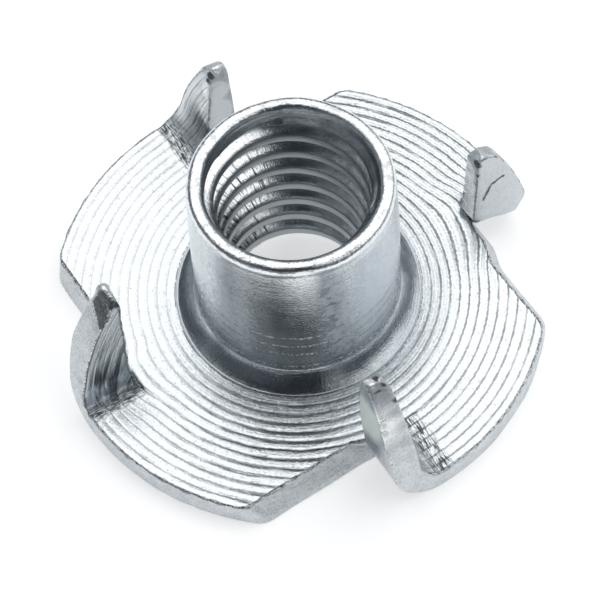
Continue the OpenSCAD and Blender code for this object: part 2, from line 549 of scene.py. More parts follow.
def prong_grid(prong, k, layer, foot_row, rings=None):
    """Points, facts and inward directions of prong k's inner face, or of its outer face if rings is None."""
    low = rings is None
    start, leg_z = prong_start(prong)
    stations = prong_stations(prong, layer)
    blank, place, z, in_w, in_z, thick, cap, part = stations.T
    inner, outer = prong_edges(prong, layer, stations)
    share = (layer.rows - layer.foot) / (layer.rim - layer.foot)
    middle = (inner + outer) / 2
    v = middle + (inner + (outer - inner) * share - middle) * cap
    flat = part == 0.0
    v = np.where(flat, np.sqrt(np.maximum(layer.rows**2 - blank**2, 1.0)), v)
    bevel_from, bevel_to = prong["height"] - BEVEL_H, prong["height"] - BEVEL_TOP
    bevel = BEVEL_DEPTH * ease(bevel_from, bevel_to, z) * (part > 1.0)
    depth = thick if low else bevel
    bent = ease(start - LEAD, leg_z - prong["rise"], blank)
    w = place - in_w * depth + prong["twist"] * (v - TWIST_V) * bent
    along, across = prong_way(k)
    points = v[..., None] * along + w[..., None] * across
    points[..., 2] = np.where(low * flat, 0.0, z - in_z * depth)
    ring, turn = np.hypot(v, blank), bend_turn(k) + np.arctan2(blank, v)
    if not low:
        press = 1.0 - ease(*PRESS_FADE, blank)
        points[..., 2] -= np.where(flat, rings.drop(ring, turn) * press, 0.0)
    lead = COLUMNS * (k if k else 4) - LEAD_COLUMNS
    points[0, : LEAD_COLUMNS + 1] = foot_row[lead : lead + LEAD_COLUMNS + 1]
    inward = in_w[:, None] * across + in_z[:, None] * np.array([0.0, 0.0, 1.0])
    points[..., 2] = np.maximum(points[..., 2], 0.0)
    return points, ring_facts(ring, turn, blank), inward


def outline(foot_row, quarters, prongs):
    """The closed edge of one face, clockwise: its points, their directions into the sheet and out of it, and
    how open the slit beside each one is."""
    points, inward, starts = [], [], [0]
    for k in range(4):
        foot = foot_row[COLUMNS * k : COLUMNS * k + SLIT_COLUMNS + 1]
        cut, rim = quarters[k][1:, 0], quarters[k][-1, 1:]
        face, _, ways = prongs[(k + 1) % 4]
        outer = face[-1, 1:]
        inner = face[0, -2:LEAD_COLUMNS:-1]
        up = np.tile((0.0, 0.0, 1.0), (len(foot) + len(cut) + len(rim), 1))
        points += [foot, cut, rim, outer, inner]
        inward += [up, ways[1:], ways[-2:LEAD_COLUMNS:-1]]
        starts.append(sum(len(part) for part in points))
    points, inward = np.concatenate(points), np.concatenate(inward)
    gap = np.min([np.linalg.norm(points - points[i], axis=1) for i in starts[:-1]], axis=0)
    step = np.roll(points, -1, 0) - np.roll(points, 1, 0)
    outward = np.cross(inward, step)
    outward /= np.maximum(np.linalg.norm(outward, axis=1), 1e-9)[:, None]
    return points, inward, outward, ease(0.0, SLIT_REACH, gap)


def sheared_edge(skin, top, low):
    """The sheared edge all round, with a small round above and below."""
    upper, upper_in, upper_out, upper_open = top
    lower, lower_in, lower_out, lower_open = low
    place = np.arange(len(upper)) / len(upper) * 2 * math.pi
    chip = 1.0 + CHIPPING * EDGE_CHIP(place) * (upper_open > 0.99)
    above = (EDGE_TOP * upper_open * np.clip(chip, *CHIPS))[:, None]
    roll = 1.0 + ROLLING * EDGE_ROLL(place)
    below = (EDGE_LOW * lower_open * roll)[:, None]
    half = math.sqrt(0.5)
    head = upper + upper_out * above - upper_in * above
    foot = lower + lower_out * below + lower_in * below
    rows = [upper, upper + upper_out * above * half - upper_in * above * (1 - half)]
    rows += [head + (foot - head) * share for share in (0.0, 0.25, 0.5, 0.75)]
    rows += [foot, lower + lower_out * below * half + lower_in * below * (1 - half), lower]
    rows = np.array(rows)
    skin.grid(np.concatenate([rows, rows[:, :1]], 1), SHEARED)


def underside(skin, layer, inner_turns, turns):
    """Flat underside: a part round the entry, then four quarters that keep every point of the cut edge."""
    radii = np.linspace(BORE_R + ENTRY_R, layer.foot, ENTRY_RIM_ROWS)
    share = ((radii - radii[0]) / (radii[-1] - radii[0]))[:, None]
    inner = polar(radii[:, None], inner_turns + (turns - inner_turns) * share, 0.0)
    skin.grid(inner, UNDERSIDE)
    quarters = []
    count = len(layer.rows)
    keep = sorted(set(range(0, count, LOW_STEP)) | {count - 1})
    for k in range(4):
        full = polar(*quarter_grid(layer, k), 0.0)
        part = full[keep]
        rows, cols = part.shape[:2]
        at = np.arange(rows * cols).reshape(rows, cols)
        faces = np.stack([at[:-1, 1:-1], at[:-1, 2:], at[1:, 2:], at[1:, 1:-1]], -1).reshape(-1, 4).tolist()
        extra = []
        for i in range(rows - 1):
            between = list(range(keep[i] + 1, keep[i + 1]))
            ids = [rows * cols + len(extra) + j for j in range(len(between))]
            extra += [full[j, 0] for j in between]
            faces.append([at[i, 0], *ids, at[i + 1, 0], at[i + 1, 1], at[i, 1]])
        skin.add(np.concatenate([part.reshape(-1, 3), np.array(extra)]), UNDERSIDE, faces)
        quarters.append(full)
    return inner[-1], quarters, keep


def turned(skin, profile, turns, kind, sway=None):
    """Surface turned about the axis from (radius, height) pairs, its lip uneven where a sway is given."""
    profile = np.array(profile)
    radius, z = (profile[:, i][:, None] + 0.0 * turns for i in (0, 1))
    if sway:
        from_mouth = np.arange(len(profile))[::-1, None]
        share = ease(LIP_Z - LIP_IN, LIP_Z + LIP_R, z) * ease(0, LIP_CALM_ROWS, from_mouth)
        lift = sway(turns, z) * LIP_LIFT * share
        radius, z = radius + LIP_SPREAD * lift, z + lift * ease(LIP_Z, TOP, z)
    skin.grid(polar(radius, turns, z), kind)


def barrel_profile():
    """Root, wall and lip of the barrel, from the flange up."""
    rows = [(RINGED_FROM, SHEET)] + [(ROOT_OUT - far, SHEET - deep) for far, deep in ROOT_STEP]
    outer, inner = np.radians(ROOT_SLOPES)
    arc_r = ROOT_TURN_R
    step = (rows[-1][0] - WALL_R - arc_r * (1.0 - math.sin(inner))) / ROOT_ROWS
    for share in (np.arange(ROOT_ROWS) + 0.5) / ROOT_ROWS:
        radius, z = rows[-1]
        rows.append((radius - step, z + step * math.tan(outer + (inner - outer) * share)))
    low = rows[-1][1] + arc_r * math.cos(inner)
    for a in np.linspace(inner, math.pi / 2, ROOT_TURN_ROWS)[1:]:
        rows.append((WALL_R + arc_r * (1 - math.sin(a)), low - arc_r * math.cos(a)))
    wall_low = rows.pop()[1]
    for z in np.linspace(wall_low, LIP_Z, WALL_ROWS)[:-1]:
        rows.append((BARREL_R + float(np.interp(z, WALL_HEIGHTS, WALL_SWELL)), z))
    for a in np.radians(np.linspace(0, 180, LIP_ROWS)):
        out = math.copysign(abs(math.cos(a)) ** LIP_FLAT, math.cos(a))
        rows.append((LIP_MID + out * LIP_R, LIP_Z + math.sin(a) ** LIP_FLAT * LIP_R))
    return rows


# Thread: height of a crest at the back of the bore, half widths of crest and
# root, how far their corners are eased, where it runs out, and rows in a pitch.
CREST_TOP = 7.92
CREST_HALF = 0.165
ROOT_HALF = 0.05
THREAD_SOFT = 0.04
RUN_OUT = (7.75, 8.0)
THREAD_ROWS = (-0.17, -0.15, 0.0, 0.15, 0.17, 0.26, 0.36, 0.44, 0.5, 0.56, 0.64, 0.74)


class Thread:
    """The tapped thread: its pitch, depth and radius."""

    def __init__(self, pitch, depth):
        self.pitch, self.depth = pitch, depth

    def radius(self, phase, z):
        """Radius at a phase of the pitch, crest at 0; the bore spreads a little towards the mouth."""
        off = np.abs((phase + 0.5) % 1.0 - 0.5) * self.pitch
        share = (off - CREST_HALF) / (self.pitch / 2 - ROOT_HALF - CREST_HALF)
        soft = THREAD_SOFT
        share = np.where(share < soft, np.maximum(share + soft, 0) ** 2 / (4 * soft), share)
        share = np.where(share > 1 - soft, 1 - np.maximum(1 - share + soft, 0) ** 2 / (4 * soft), share)
        low, high = SPREAD_HEIGHTS
        crest = BORE_R + CREST_SPREAD * np.clip((z - low) / (high - low), 0.0, 1.0)
        return crest + self.depth * np.clip(share, 0.0, 1.0)


def tapped_bore(skin, turns, thread):
    """Right-hand thread on a helical grid, which runs out in the ledge at the mouth and the round entry."""
    climb = (math.radians(FIRST_BEND) - turns - math.pi / 2) / (2 * math.pi)
    count = math.ceil((MOUTH_Z - THREAD_LOW) / thread.pitch) + 2
    steps = np.array([n + p for n in range(-count, 3) for p in THREAD_ROWS])[:, None]
    z = np.clip(CREST_TOP + thread.pitch * (steps + climb), THREAD_LOW, MOUTH_Z)
    radius = thread.radius((z - CREST_TOP) / thread.pitch - climb, z)
    radius += (np.minimum(radius, MOUTH_RADII[-1]) - radius) * ease(*RUN_OUT, z)
    mouth = np.interp(z, MOUTH_HEIGHTS, MOUTH_RADII)
    below = ENTRY_R - np.minimum(z, ENTRY_R)
    entry = BORE_R + ENTRY_R - np.sqrt(np.maximum(ENTRY_R**2 - below**2, 0.0))
    radius = np.maximum(np.maximum(radius, mouth), entry)
    used = ((z > THREAD_LOW) & (z < MOUTH_Z)).any(1)
    first, last = np.argmax(used) - 1, len(used) - np.argmax(used[::-1])
    skin.grid(polar(radius, turns, z)[first : last + 1], TAPPED)


def drawn_entry(skin, turns):
    """Round edge that leads up from the underside into the bore."""
    low = math.acos((ENTRY_R - THREAD_LOW) / ENTRY_R)
    rows = []
    for a in np.linspace(low, 0, ENTRY_ROWS):
        rows.append((BORE_R + ENTRY_R * (1 - math.sin(a)), ENTRY_R * (1 - math.cos(a))))
    turned(skin, rows, turns, DRAWN)


def nut_mesh(rings, thread):
    """The whole nut as one closed mesh, and how many of its edges are open."""
    foot, rim = TOP_FOOT_R - EDGE_TOP, FLANGE_R - EDGE_TOP
    radii = [foot] + rings.rows(foot, rim - RIM_ROWS[0]) + [rim - row for row in RIM_ROWS]
    shares = (np.array(radii) - foot) / (rim - foot)
    top = Layer(foot, "cut", EDGE_TOP, shares)
    low = Layer(LOW_FOOT_R - EDGE_LOW, "low", EDGE_LOW - EDGE_FLARE, shares)
    skin = Skin()
    turns, low_turns = foot_turns(top), foot_turns(low)
    foot_row, quarters = flange_top(skin, top, turns, rings)
    low_foot, low_quarters, keep = underside(skin, low, turns, low_turns)
    faces, backs = [], []
    for k, prong in enumerate(PRONGS):
        face = prong_grid(prong, k, top, foot_row, rings)
        skin.grid(face[0], TOP_FACE, face[1])
        back = prong_grid(prong, k, low, low_foot)
        skin.grid(back[0][keep], UNDERSIDE, back[1][keep])
        faces.append(face)
        backs.append(back)
    top_line, low_line = outline(foot_row, quarters, faces), outline(low_foot, low_quarters, backs)
    sheared_edge(skin, top_line, low_line)
    turned(skin, barrel_profile(), turns, DRAWN, LIP_SWAY)
    tapped_bore(skin, turns, thread)
    drawn_entry(skin, turns)
    return skin.mesh("tee_nut_skin", np.concatenate([top_line[0], low_line[0]]))


# ---- Shader helpers ----


class Wire:
    """An output of a shader node, which can be added, multiplied and so on."""

    def __init__(self, board, socket):
        self.board, self.socket = board, socket

    def __add__(self, other):
        return self.board.math("ADD", self, other)

    def __sub__(self, other):
        return self.board.math("SUBTRACT", self, other)

    def __rsub__(self, other):
        return self.board.math("SUBTRACT", other, self)

    def __mul__(self, other):
        return self.board.math("MULTIPLY", self, other)

    def __truediv__(self, other):
        return self.board.math("DIVIDE", self, other)

    def __abs__(self):
        return self.board.math("ABSOLUTE", self)

    __radd__, __rmul__ = __add__, __mul__


class Board:
    """Places shader nodes in a tree and links them."""

    def __init__(self, tree):
        self.tree, self.count = tree, 0

    def feed(self, socket, value):
        """Link a socket to a wire, or set it to a constant."""
        if isinstance(value, Wire):
            self.tree.links.new(value.socket, socket)
        else:
            socket.default_value = value

    def put(self, kind, values=None, **settings):
        node = self.tree.nodes.new(kind)
        node.location = (220 * (self.count // 4), -180 * (self.count % 4))
        self.count += 1
        for key, value in settings.items():
            setattr(node, key, value)
        for key, value in (values or {}).items():
            self.feed(node.inputs[key], value)
        return node

    def wire(self, node, output=0):
        return Wire(self, node.outputs[output])

    def math(self, operation, a, b=0.0, clamp=False):
        return self.wire(self.put("ShaderNodeMath", {0: a, 1: b}, operation=operation, use_clamp=clamp))

    def most(self, a, b):
        return self.math("MAXIMUM", a, b)

    def vector(self, operation, a, b=(0.0, 0.0, 0.0), output=0):
        return self.wire(self.put("ShaderNodeVectorMath", {0: a, 1: b}, operation=operation), output)

    def resized(self, a, share):
        """A vector times a number."""
        return self.wire(self.put("ShaderNodeVectorMath", {0: a, "Scale": share}, operation="SCALE"))

    def step(self, value, low, high, start=0.0, end=1.0):
        """Smooth step of a value between low and high."""
        values = {"Value": value, "From Min": low, "From Max": high, "To Min": start, "To Max": end}
        return self.wire(self.put("ShaderNodeMapRange", values, interpolation_type="SMOOTHSTEP"), "Result")

    def mix(self, share, a, b):
        """Mix of two colours."""
        return self.wire(self.put("ShaderNodeMix", {"Factor": share, 6: a, 7: b}, data_type="RGBA"), 2)

    def coated(self, colour, *coats):
        """A colour with coats on it, each a mask and the colour that it brings."""
        for mask, coat in coats:
            colour = self.mix(mask, colour, coat)
        return colour

    def noise(self, place, detail, rough, scale=1.0):
        values = {"Vector": place, "Scale": scale, "Detail": detail, "Roughness": rough}
        return self.wire(self.put("ShaderNodeTexNoise", values), "Fac")

    def stretched(self, place, scales, detail, rough):
        """Noise with a scale of its own along each axis."""
        return self.noise(self.vector("MULTIPLY", place, scales), detail, rough)

    def join(self, x, y, z=0.0):
        return self.wire(self.put("ShaderNodeCombineXYZ", {0: x, 1: y, 2: z}))

    def split(self, place):
        node = self.put("ShaderNodeSeparateXYZ", {0: place})
        return [self.wire(node, i) for i in range(3)]

    def group(self, tree, *values):
        """All outputs of a group that is fed in the order of its inputs."""
        node = self.put("ShaderNodeGroup", node_tree=tree)
        for socket, value in zip(node.inputs, values):
            self.feed(socket, value)
        return [self.wire(node, i) for i in range(len(node.outputs))]


VALUE, VECTOR = "NodeSocketFloat", "NodeSocketVector"


class Group(Board):
    """Shader group with named inputs, held in given, and named value outputs."""

    def __init__(self, name, inputs, outputs):
        super().__init__(bpy.data.node_groups.new(name, "ShaderNodeTree"))
        for label, kind in inputs.items():
            self.tree.interface.new_socket(name=label, in_out="INPUT", socket_type=kind)
        for label in outputs:
            self.tree.interface.new_socket(name=label, in_out="OUTPUT", socket_type=VALUE)
        start = self.put("NodeGroupInput")
        self.given = [self.wire(start, label) for label in inputs]

    def done(self, *values):
        """Feed the outputs in order and return the tree."""
        for socket, value in zip(self.put("NodeGroupOutput").inputs, values):
            self.feed(socket, value)
        return self.tree


# How far the bumps of coarse and of fine faces stand out, in metres.
COARSE_BUMPS = 0.00004
FINE_BUMPS = 0.00003


class Metal(Board):
    """Material with one metal shader, its place in millimetres and its plating grain."""

    def __init__(self, name, grain, grain_scale, cloud_scale, pit_amount):
        self.material = bpy.data.materials.new(name)
        self.material.use_nodes = True
        super().__init__(self.material.node_tree)
        self.tree.nodes.clear()
        self.shader = self.put("ShaderNodeBsdfPrincipled")
        self.put("ShaderNodeOutputMaterial", {0: self.wire(self.shader)})
        self.place = self.resized(self.wire(self.put("ShaderNodeTexCoord"), "Object"), 1.0 / MM)
        self.grain = self.group(grain, self.place, grain_scale, cloud_scale, pit_amount)

    def facts(self, *names):
        return [self.wire(self.put("ShaderNodeAttribute", attribute_name=name), "Fac") for name in names]

    def finish(self, colour, rough, height, bumps, metallic=1.0):
        bump = self.put("ShaderNodeBump", {"Height": height, "Distance": bumps})
        fed = {"Base Color": colour, "Roughness": rough, "Metallic": metallic, "Normal": self.wire(bump)}
        for name, value in fed.items():
            self.feed(self.shader.inputs[name], value)
        return self.material


class Palette:
    """Colours of the plating, from the panel's settings."""

    def __init__(self, look):
        for name in look.__annotations__:
            setattr(self, name, (*getattr(look, name), 1.0))


# Colours that belong to one kind of face only.
PRONG_FACE = (0.80, 0.87, 0.92, 1.0)
SHEARED_DULL, SHEARED_CLEAN = (0.61, 0.65, 0.67, 1.0), (0.71, 0.74, 0.76, 1.0)
SHEARED_SPOTS = (0.26, 0.235, 0.20, 1.0)
ROLLED_DULL, ROLLED_CLEAN = (0.54, 0.575, 0.60, 1.0), (0.60, 0.635, 0.66, 1.0)
# Painted sheen on the bright marks of the rolled faces.
ROLLED_SHEEN = (0.86, 0.93, 0.89, 1.0)
# Painted sheen down the barrel.
PAINTED_SHEEN = (0.86, 0.93, 1.0, 1.0)


def grain_group():
    """Plating grain: fine grain, broad cloud and sparse pits, from a place in millimetres."""
    b = Group(
        "plating_grain",
        {"Place": VECTOR, "Grain Scale": VALUE, "Cloud Scale": VALUE, "Pit Amount": VALUE},
        ("Grain", "Cloud", "Pits"),
    )
    place, grain_scale, cloud_scale, pit_amount = b.given
    spots = b.noise(place, 1.0, 0.4, grain_scale * 0.6)
    pits = b.math("MULTIPLY", spots - (0.74 - pit_amount * 0.12), 14.0, clamp=True)
    return b.done(b.noise(place, 3.0, 0.65, grain_scale), b.noise(place, 3.0, 0.55, cloud_scale), pits)


def ring_lines_group(pitch):
    """Pressed ring lines: thin jagged line and finer side lines, painted shade in the grooves, and short
    ticks across, from radius and turn.
    """
    b = Group("ring_lines", {"Ring": VALUE, "Turn": VALUE}, ("Line", "Side Lines", "Ticks", "Streak"))
    ring, turn = b.given
    place = (ring - ROOT_OUT) / pitch
    index = b.math("FLOOR", place + 0.5)
    off = (place - index) * pitch
    along = turn * (index * pitch + ROOT_OUT)
    own = index * 7.7
    jag = b.noise(b.join(along * 8.0, own, off * 9.0), 2.0, 0.6)
    slow = b.noise(b.join(along * 1.3, own, 4.0), 2.0, 0.5)
    shift = (jag - 0.5) * 0.10
    line = b.step(abs(off + shift), 0.062, 0.018) * b.step(slow, 0.25, 0.55, 0.45, 1.0)
    side = abs(abs(off + shift * 0.6) - 0.115)
    side = b.step(side, 0.045, 0.01) * b.step(jag, 0.35, 0.6)
    ticks = b.noise(b.join(along * 13.0, own, 1.0), 1.0, 0.5)
    ticks = b.step(ticks, 0.46, 0.58) * b.step(abs(off), 0.14, 0.08)
    return b.done(line, side, ticks, b.noise(b.join(ring * 13.0, along * 0.6, 3.1), 3.0, 0.7))


def crack_group():
    """Nearness to a straight piece of a crack: 1 on it, 0 at its width, all in millimetres."""
    b = Group("crack_piece", {"Place": VECTOR, "From": VECTOR, "To": VECTOR, "Width": VALUE}, ("Crack",))
    place, start, end, width = b.given
    reach, away = b.vector("SUBTRACT", end, start), b.vector("SUBTRACT", place, start)
    along, whole = (b.vector("DOT_PRODUCT", way, reach, "Value") for way in (away, reach))
    nearest = b.resized(reach, b.math("DIVIDE", along, whole, clamp=True))
    gap = b.vector("DISTANCE", away, nearest, "Value")
    return b.done(b.math("SUBTRACT", 1.0, gap / width, clamp=True))


def ringed_material(zinc, grain, lines):
    """Pressed rings on the flange and up the prongs' inner faces."""
    b = Metal("ringed_zinc", grain, 10.0, 1.1, 0.3)
    fine, cloud, pits = b.grain
    ring, turn, fold, line, shade, edge, dark, bright, worn = b.facts(
        "ring", "turn", "fold", "line", "shade", "edge", "dark", "bright", "worn"
    )
    ring_line, side_lines, ticks, streak = b.group(lines, ring, turn)
    leg = b.step(fold, -0.25, 0.35)
    flat = 1.0 - leg
    # Creases at the foot of every prong, with painted shade in their crinkles, faint at the right-hand one.
    plain = b.step(abs(turn - 0.5 * math.pi), 0.5, 0.3)
    crease = b.step(fold, -1.0, -0.5) * b.step(fold, 0.6, 0.1) * (1.0 - plain * 0.85)
    bars = b.noise(b.join(fold * 13.0, ring * 1.9), 2.0, 0.65)
    brush = b.noise(b.join(fold * 0.9, ring * 9.0), 4.0, 0.75)
    bands = b.noise(b.join(fold * 0.35, ring * 3.4, 2.0), 2.0, 0.6)
    # The left-hand prong's inner face is streaked the most.
    deep = b.step(abs(turn - 1.5 * math.pi), 0.6, 0.3)
    face = b.coated(
        b.mix(b.step(brush * 0.4 + bands * 0.6, 0.42, 0.57), zinc.steel, PRONG_FACE),
        ((1.0 - deep) * 0.65, zinc.light),
        (deep * b.step(bands, 0.50, 0.44, 0.0, 0.5), zinc.dark),
        (b.step(fine, 0.54, 0.7, 0.0, 0.35), zinc.steel),
    )
    # Dark marks: rough torn zinc, partly painted shade on the tip facets.
    scar = b.step(dark + fine * 0.8, 0.55, 0.8)
    # Painted shade: shade greys the flange round the barrel's foot, and ring lines and side lines are painted
    # shade in the grooves.
    colour = b.coated(
        b.mix(b.step(fine, 0.54, 0.66) * (shade * 0.4 + 0.38), zinc.light, zinc.grey),
        (shade * b.step(streak, 0.35, 0.62, 0.2, 0.9), zinc.steel),
        (leg, face),
        (ring_line * line * (flat * 0.6 + 0.25), zinc.dark),
        (side_lines * b.most(shade * 0.9, b.step(line, 0.85, 1.0, 0.15, 0.55)) * flat, zinc.steel),
        (ticks * b.step(line, 0.75, 0.4, 0.05, 0.42) * flat, zinc.grey),
        (crease * b.step(bars, 0.50, 0.57, 0.0, 0.92), zinc.dark),
        (b.math("MULTIPLY", worn, b.step(brush, 0.3, 0.6, 0.5, 1.6), clamp=True), zinc.steel),
        (b.step(edge - (fine - 0.5) * 0.12, 0.055, 0.025, 0.0, 0.6), zinc.dark),
        (scar * 0.85, zinc.dark),
        # Painted glints at the bright marks.
        (b.step(bright + fine * 0.5, 0.5, 0.7), zinc.chip),
        (pits * 0.55, zinc.tan),
    )
    height = streak * (shade * 0.5 + 0.12) + fine * (shade * 0.4 + 0.3) - ring_line * leg * 0.5
    height = height + brush * leg * 1.2 + bands * (deep * 0.75 + 0.25) * leg * 2.2
    height = height + crease * bars * 1.8 + scar * fine * 2.0
    rough = b.step(cloud, 0.3, 0.7, 0.14, 0.22) + leg * 0.16 + scar * 0.3
    return b.finish(colour, rough, height, COARSE_BUMPS)


def sheared_material(zinc, grain):
    """Sheared edges: satin, finely speckled, with rough dark patches that are partly painted shade, and
    painted glints, at the tips.
    """
    b = Metal("sheared_zinc", grain, 12.0, 2.2, 0.35)
    fine, cloud, pits = b.grain
    edge, dark, bright, worn = b.facts("edge", "dark", "bright", "worn")
    scratch = b.stretched(b.place, (3.0, 3.0, 16.0), 2.0, 0.6)
    crumb = b.step(edge, 0.08, 0.03)
    scar = b.step(dark + fine * 0.7, 0.48, 0.66)
    glint = b.step(bright + fine * 0.4, 0.35, 0.6)
    colour = b.coated(
        b.mix(b.step(cloud, 0.3, 0.7), SHEARED_DULL, SHEARED_CLEAN),
        (b.step(fine, 0.50, 0.68, 0.0, 0.5), zinc.steel),
        (b.step(fine, 0.44, 0.34, 0.0, 0.2), zinc.chip),
        (b.step(scratch, 0.62, 0.74, 0.0, 0.35), zinc.steel),
        (pits * 0.5, SHEARED_SPOTS),
        (worn * 0.75, zinc.steel),
        (crumb * b.step(fine, 0.50, 0.58, 0.0, 0.8), zinc.dark),
        (crumb * b.step(fine, 0.46, 0.40, 0.0, 0.8), zinc.chip),
        (scar * 0.85, zinc.dark),
        (scar * b.step(fine, 0.56, 0.66, 0.0, 0.7), zinc.grey),
        (glint, zinc.chip),
    )
    height = fine * (scar * 2.3 + 0.7) + scratch * 0.4
    return b.finish(colour, fine * 0.1 + 0.40 - glint * 0.2, height, COARSE_BUMPS)


# Dotted arcs round the barrel above its foot: height in millimetres and strength.
DOTTED_ARCS = ((1.75, 1.0), (2.7, 0.8), (3.3, 0.6), (3.9, 0.4))
# Painted sheen streaks down the barrel, where the room's light would reflect, and a painted shade patch
# between them: azimuth, half width and fade in degrees, strength.
SHEEN_STREAKS = ((-40.0, 13.0, 12.0, 1.0), (-69.5, 2.0, 6.0, 0.8), (-132.0, 4.0, 12.0, 0.6))
SHADE_PATCH = (-88.0, 6.0, 20.0, 0.75)


def drawn_material(zinc, grain):
    """Drawn barrel, lip and root: satin with fine turning marks."""
    b = Metal("drawn_zinc", grain, 13.0, 1.6, 0.1)
    fine, cloud, _ = b.grain
    x, y, z = b.split(b.place)
    radius = b.vector("LENGTH", b.join(x, y), output="Value")
    lip, foot = b.step(z, 7.95, 8.15), b.step(z, 2.6, 1.5)
    root = b.step(radius, BARREL_R + 0.12, BARREL_R + 0.25) * b.step(radius, ROOT_OUT, ROOT_OUT - 0.05)
    wall = b.step(z, 1.7, 2.6) * b.step(z, 8.0, 7.6)
    marks = b.noise(b.join(z * 10.0, radius * 10.0, x * 0.5), 2.0, 0.6)
    broad = b.stretched(b.place, (1.4, 1.4, 0.12), 1.0, 0.5)
    mottle = b.stretched(b.place, (2.2, 2.2, 3.0), 4.0, 0.7)
    flecks = b.step(b.stretched(b.place, (7.0, 7.0, 20.0), 1.0, 0.5), 0.42, 0.56)
    dots = b.step(b.stretched(b.place, (8.0, 8.0, 3.0), 2.0, 0.6), 0.46, 0.58)
    arcs = 0.0
    for rise, share in DOTTED_ARCS:
        away = abs(z + (mottle - 0.5) * 0.25 - rise)
        arcs = b.most(arcs, b.step(away, 0.07, 0.02, 0.0, share))
    arcs = arcs * dots

    def streak(azimuth, half, fade, strength):
        """A strip down the barrel with ragged sides that fade out round it."""
        way, half, fade = math.radians(azimuth), math.radians(half), math.radians(fade)
        along = (x * math.cos(way) + y * math.sin(way)) / radius + (mottle - 0.5) * 0.12
        return b.step(along, math.cos(half + fade), math.cos(half), 0.0, strength)

    # Painted sheen: streaks down the wall painted pale and made less metallic where the room's light would
    # reflect; the patch between them is painted shade.
    sheen = 0.0
    for shape in SHEEN_STREAKS:
        sheen = b.most(sheen, streak(*shape))
    sheen = sheen * wall * b.step(mottle, 0.35, 0.6, 0.75, 1.0)
    patch = streak(*SHADE_PATCH) * b.step(z, 3.6, 4.8) * b.step(z, 7.6, 6.6)
    colour = b.coated(
        b.mix(b.step(broad, 0.35, 0.65, 0.0, 0.35), zinc.light, zinc.grey),
        (b.step(fine, 0.50, 0.66, 0.0, 0.55), zinc.steel),
        (b.step(fine, 0.46, 0.36, 0.0, 0.3), zinc.chip),
        (foot * b.step(marks, 0.52, 0.66) * flecks * 0.8, zinc.chip),
        (foot * b.step(marks, 0.52, 0.66, 0.0, 0.5), zinc.steel),
        (lip * b.step(mottle, 0.54, 0.63, 0.0, 0.65), zinc.dark),
        (arcs, zinc.chip),
        # Painted shade on the root fillet, and a painted highlight along the lip.
        (root * 0.6, zinc.steel),
        (lip * 0.5, zinc.chip),
        (patch * b.step(mottle, 0.40, 0.60, 1.0, 0.6), zinc.steel),
        (sheen, PAINTED_SHEEN),
    )
    height = marks * 0.2 + fine * 0.4 + broad * 0.8 + mottle * lip * 0.9 + arcs * 3.2
    rough = b.step(cloud, 0.3, 0.7, 0.11, 0.16) + arcs * 0.3
    return b.finish(colour, rough, height, FINE_BUMPS, 1.0 - sheen * 0.8)


def tapped_material(zinc, grain):
    """Cut thread: flanks with a painted highlight on the left side and chatter marks across them, and plain
    grey crests.
    """
    b = Metal("tapped_zinc", grain, 9.0, 1.5, 0.5)
    fine, cloud, pits = b.grain
    (turn,) = b.facts("turn")
    x, y, z = b.split(b.place)
    chatter = b.noise(b.join(turn * 26.0, z * 1.1), 2.0, 0.7)
    left, right = b.step(x, -0.5, -1.3, 0.0, 0.95), b.step(x, 0.5, 1.5)
    low, high = SPREAD_HEIGHTS
    spread = b.math("DIVIDE", z - low, high - low, clamp=True)
    out = b.vector("LENGTH", b.join(x, y), output="Value")
    crest = b.step(out - (spread * CREST_SPREAD + BORE_R), 0.05, 0.01)
    colour = b.coated(
        b.mix(b.step(cloud, 0.3, 0.7), zinc.grey, zinc.light),
        # Painted highlight: the left side of the bore is painted bright.
        (left * 0.8, zinc.chip),
        (b.step(fine, 0.54, 0.66, 0.0, 0.4), zinc.steel),
        (b.step(chatter, 0.54, 0.60) * b.step(z, 7.6, 5.5) * left, zinc.dark),
        (pits * 0.6, zinc.tan),
        (crest, b.mix(0.45, zinc.steel, zinc.grey)),
    )
    height = fine * (right + 0.4) + chatter * left * 0.25
    return b.finish(colour, b.step(fine, 0.3, 0.7, 0.12, 0.2) + crest * 0.22, height, FINE_BUMPS)


# The crack down the outer face of the right-hand prong: out along its bend line, across, up.
CRACK_PRONG = 1
CRACK = ((8.44, 1.39, 3.40), (8.20, 1.35, 3.27), (7.95, 1.32, 3.08), (7.82, 1.32, 2.83), (7.60, 1.35, 2.37))
CRACK_WIDTH = 0.07


